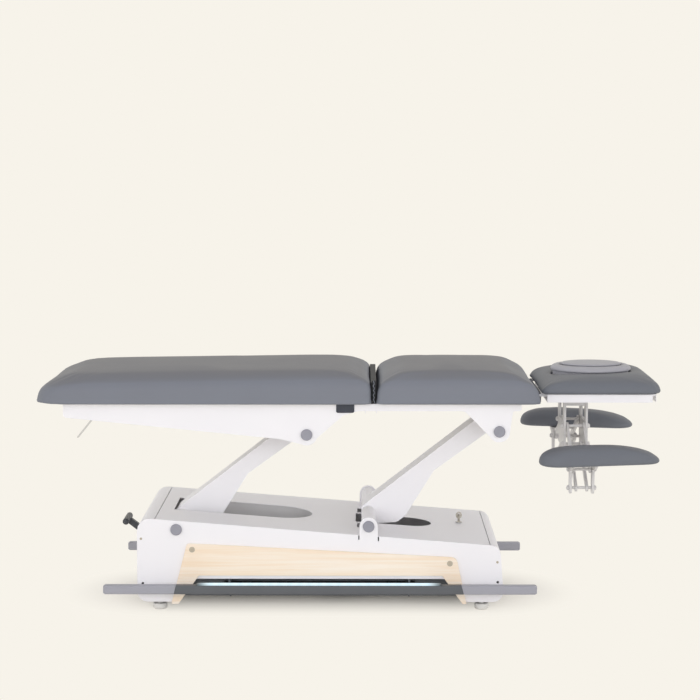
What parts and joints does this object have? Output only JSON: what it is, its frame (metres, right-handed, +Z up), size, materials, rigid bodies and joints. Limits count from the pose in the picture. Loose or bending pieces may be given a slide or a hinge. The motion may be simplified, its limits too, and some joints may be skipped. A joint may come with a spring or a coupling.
{
  "type": "treatment table",
  "caption": "Electric treatment table with padded leg, seat and head sections on a parallelogram lift, with armrests, foot bars and transport wheels.",
  "frame": {"origin": "on the floor, under the middle of the table", "axes": "+X towards the head end, +Y away from the near side, +Z up"},
  "size_m": [2.0907, 0.9282, 0.8094],
  "materials": {
    "white_powder_coat": "satin",
    "upholstery": "satin",
    "face_upholstery": "satin",
    "board": "matte",
    "birch": "satin",
    "feet_rubber": "matte",
    "wheel_plastic": "satin",
    "black_plastic": "satin",
    "sleeve": "satin",
    "bar": "satin",
    "pivot_grey": "satin",
    "frame_grey": "satin",
    "bright_steel": "satin",
    "armrest_metal": "satin"
  },
  "bodies": {
    "base": {"base_frame": "frame_grey", "side_panel_near": "white_powder_coat", "side_panel_far": "white_powder_coat", "top_cover": "white_powder_coat", "end_cover_left": "white_powder_coat", "end_cover_right": "white_powder_coat", "wood_panel_near": "birch", "wood_panel_far": "birch", "foot_near_left": "feet_rubber", "foot_near_right": "feet_rubber", "foot_far_left": "feet_rubber", "foot_far_right": "feet_rubber", "lower_shaft_left": "pivot_grey", "lower_shaft_right": "pivot_grey", "actuator_body": "black_plastic", "control_box": "black_plastic", "key_lock": "bright_steel", "mains_inlet": "black_plastic"},
    "actuator_rod": {"actuator_rod": "bright_steel"},
    "left_arm": {"lift_arm_left": "white_powder_coat"},
    "right_arm": {"lift_arm_right": "white_powder_coat"},
    "upper_frame": {"side_plate_near": "white_powder_coat", "side_plate_far": "white_powder_coat", "cross_beam_leg": "white_powder_coat", "cross_beam_spring": "white_powder_coat", "upper_shaft_left": "pivot_grey", "upper_shaft_right": "pivot_grey", "mid_board": "board", "mid_cushion": "upholstery", "section_hinge": "frame_grey", "head_hinge": "frame_grey"},
    "release_lever": {"release_lever": "bright_steel"},
    "leg_section": {"long_board": "board", "long_cushion": "upholstery"},
    "gas_spring_cylinder": {"gas_spring_cylinder": "black_plastic"},
    "gas_spring_rod": {"gas_spring_rod": "bright_steel"},
    "head_section": {"head_frame": "white_powder_coat", "head_cushion": "upholstery", "face_ring": "face_upholstery", "armrest_bracket": "armrest_metal"},
    "face_plug": {"face_plug": "face_upholstery"},
    "castor_pedal": {"castor_pedal": "frame_grey"},
    "castor_link": {"castor_link": "frame_grey"},
    "castor_right": {"castor_shaft_right": "frame_grey"},
    "wheelset_left": {"wheelset_left": "wheel_plastic"},
    "wheelset_right": {"wheelset_right": "wheel_plastic"},
    "key": {"key": "bright_steel"},
    "upper_link_near": {"armrest_upper_link_near": "armrest_metal"},
    "lower_link_near": {"armrest_lower_link_near": "armrest_metal"},
    "rest_pad_near": {"pad_bracket_near": "armrest_metal", "armrest_pad_near": "upholstery"},
    "foot_bar_near": {"foot_bar_near": "bar", "foot_bar_sleeve_near": "sleeve"},
    "upper_link_far": {"armrest_upper_link_far": "armrest_metal"},
    "lower_link_far": {"armrest_lower_link_far": "armrest_metal"},
    "rest_pad_far": {"pad_bracket_far": "armrest_metal", "armrest_pad_far": "upholstery"},
    "foot_bar_far": {"foot_bar_far": "bar", "foot_bar_sleeve_far": "sleeve"}
  },
  "joints": [
    {"name": "lift", "type": "hinge", "parent": "base", "child": "left_arm", "pos_m": [-0.5755, 0, 0.275], "axis": [0, -1, 0], "range_deg": [-29, 29]},
    {"name": "frame_level", "type": "hinge", "parent": "left_arm", "child": "upper_frame", "pos_m": [-0.14187, 0, 0.59005], "axis": [0, -1, 0], "range_deg": [-30, 30]},
    {"name": "lift_right", "type": "hinge", "parent": "base", "child": "right_arm", "pos_m": [0.0645, 0, 0.286], "axis": [0, -1, 0], "range_deg": [-30, 30]},
    {"name": "actuator_stroke", "type": "slide", "parent": "base", "child": "actuator_rod", "axis": [1, 0, 0], "range_m": [-0.048, 0.048]},
    {"name": "leg_tilt", "type": "hinge", "parent": "upper_frame", "child": "leg_section", "pos_m": [0.0815, 0, 0.75455], "axis": [0, 1, 0], "range_deg": [0, 40]},
    {"name": "gas_spring_turn", "type": "hinge", "parent": "upper_frame", "child": "gas_spring_cylinder", "pos_m": [0.04, 0.1, 0.67755], "axis": [0, 1, 0], "range_deg": [-1, 43]},
    {"name": "gas_spring_stroke", "type": "slide", "parent": "gas_spring_cylinder", "child": "gas_spring_rod", "axis": [-0.9999, 0, -0.013], "range_m": [-0.002, 0.06]},
    {"name": "head_tilt", "type": "hinge", "parent": "upper_frame", "child": "head_section", "pos_m": [0.6405, 0, 0.71405], "axis": [0, -1, 0], "range_deg": [-35, 25]},
    {"name": "face_plug_lift", "type": "slide", "parent": "head_section", "child": "face_plug", "axis": [0, 0, 1], "range_m": [0, 0.12]},
    {"name": "armrest_near", "type": "hinge", "parent": "head_section", "child": "upper_link_near", "pos_m": [0.771, -0.09, 0.59255], "axis": [-1, 0, 0], "range_deg": [-20, 40]},
    {"name": "armrest_lower_near", "type": "hinge", "parent": "head_section", "child": "lower_link_near", "pos_m": [0.771, -0.09, 0.53055], "axis": [-1, 0, 0], "range_deg": [-21, 41]},
    {"name": "armrest_pad_near", "type": "hinge", "parent": "upper_link_near", "child": "rest_pad_near", "pos_m": [0.771, -0.29991, 0.4762], "axis": [-1, 0, 0], "range_deg": [-41, 21]},
    {"name": "foot_bar_near", "type": "hinge", "parent": "base", "child": "foot_bar_near", "pos_m": [0, -0.262, 0.084], "axis": [1, 0, 0], "range_deg": [-3, 4], "stiffness_Nm_per_rad": 150, "springref_deg": -1},
    {"name": "armrest_far", "type": "hinge", "parent": "head_section", "child": "upper_link_far", "pos_m": [0.771, 0.09, 0.59255], "axis": [1, 0, 0], "range_deg": [-26, 33]},
    {"name": "armrest_lower_far", "type": "hinge", "parent": "head_section", "child": "lower_link_far", "pos_m": [0.771, 0.09, 0.53055], "axis": [1, 0, 0], "range_deg": [-27, 34]},
    {"name": "armrest_pad_far", "type": "hinge", "parent": "upper_link_far", "child": "rest_pad_far", "pos_m": [0.771, 0.31189, 0.5011], "axis": [1, 0, 0], "range_deg": [-34, 27]},
    {"name": "foot_bar_far", "type": "hinge", "parent": "base", "child": "foot_bar_far", "pos_m": [0, 0.262, 0.084], "axis": [-1, 0, 0], "range_deg": [-3, 4], "stiffness_Nm_per_rad": 150, "springref_deg": -1},
    {"name": "castor_pedal", "type": "hinge", "parent": "base", "child": "castor_pedal", "pos_m": [-0.575, 0, 0.1], "axis": [0, -1, 0], "range_deg": [0, 35]},
    {"name": "castor_right", "type": "hinge", "parent": "base", "child": "castor_right", "pos_m": [0.36, 0, 0.1], "axis": [0, -1, 0], "range_deg": [-1, 36]},
    {"name": "castor_link", "type": "hinge", "parent": "castor_pedal", "child": "castor_link", "pos_m": [-0.55997, 0.183, 0.14769], "axis": [0, -1, 0], "range_deg": [-36, 1]},
    {"name": "wheels_left", "type": "hinge", "parent": "castor_pedal", "child": "wheelset_left", "pos_m": [-0.65629, 0, 0.07515], "axis": [0, 1, 0], "continuous": true},
    {"name": "wheels_right", "type": "hinge", "parent": "castor_right", "child": "wheelset_right", "pos_m": [0.27871, 0, 0.07515], "axis": [0, 1, 0], "continuous": true},
    {"name": "key_turn", "type": "hinge", "parent": "base", "child": "key", "pos_m": [0.3815, 0.05, 0.23119], "axis": [0, 0, 1], "range_deg": [0, 90]},
    {"name": "release_lever", "type": "hinge", "parent": "upper_frame", "child": "release_lever", "pos_m": [-0.8685, 0, 0.63055], "axis": [0, 1, 0], "range_deg": [0, 20], "stiffness_Nm_per_rad": 0.5, "springref_deg": -8.59}
  ],
  "couplings": [
    {"joint": "frame_level", "follows": "lift", "ratio": -1},
    {"joint": "lift_right", "follows": "lift", "ratio": 1},
    {"joint": "actuator_stroke", "follows": "lift", "m_per_rad": 0.0905},
    {"joint": "gas_spring_turn", "follows": "leg_tilt", "ratio": 1.035},
    {"joint": "gas_spring_stroke", "follows": "leg_tilt", "m_per_rad": 0.082},
    {"joint": "armrest_lower_near", "follows": "armrest_near", "ratio": 1},
    {"joint": "armrest_pad_near", "follows": "armrest_near", "ratio": -1},
    {"joint": "armrest_lower_far", "follows": "armrest_far", "ratio": 1},
    {"joint": "armrest_pad_far", "follows": "armrest_far", "ratio": -1},
    {"joint": "castor_right", "follows": "castor_pedal", "ratio": 1},
    {"joint": "castor_link", "follows": "castor_pedal", "ratio": -1}
  ]
}
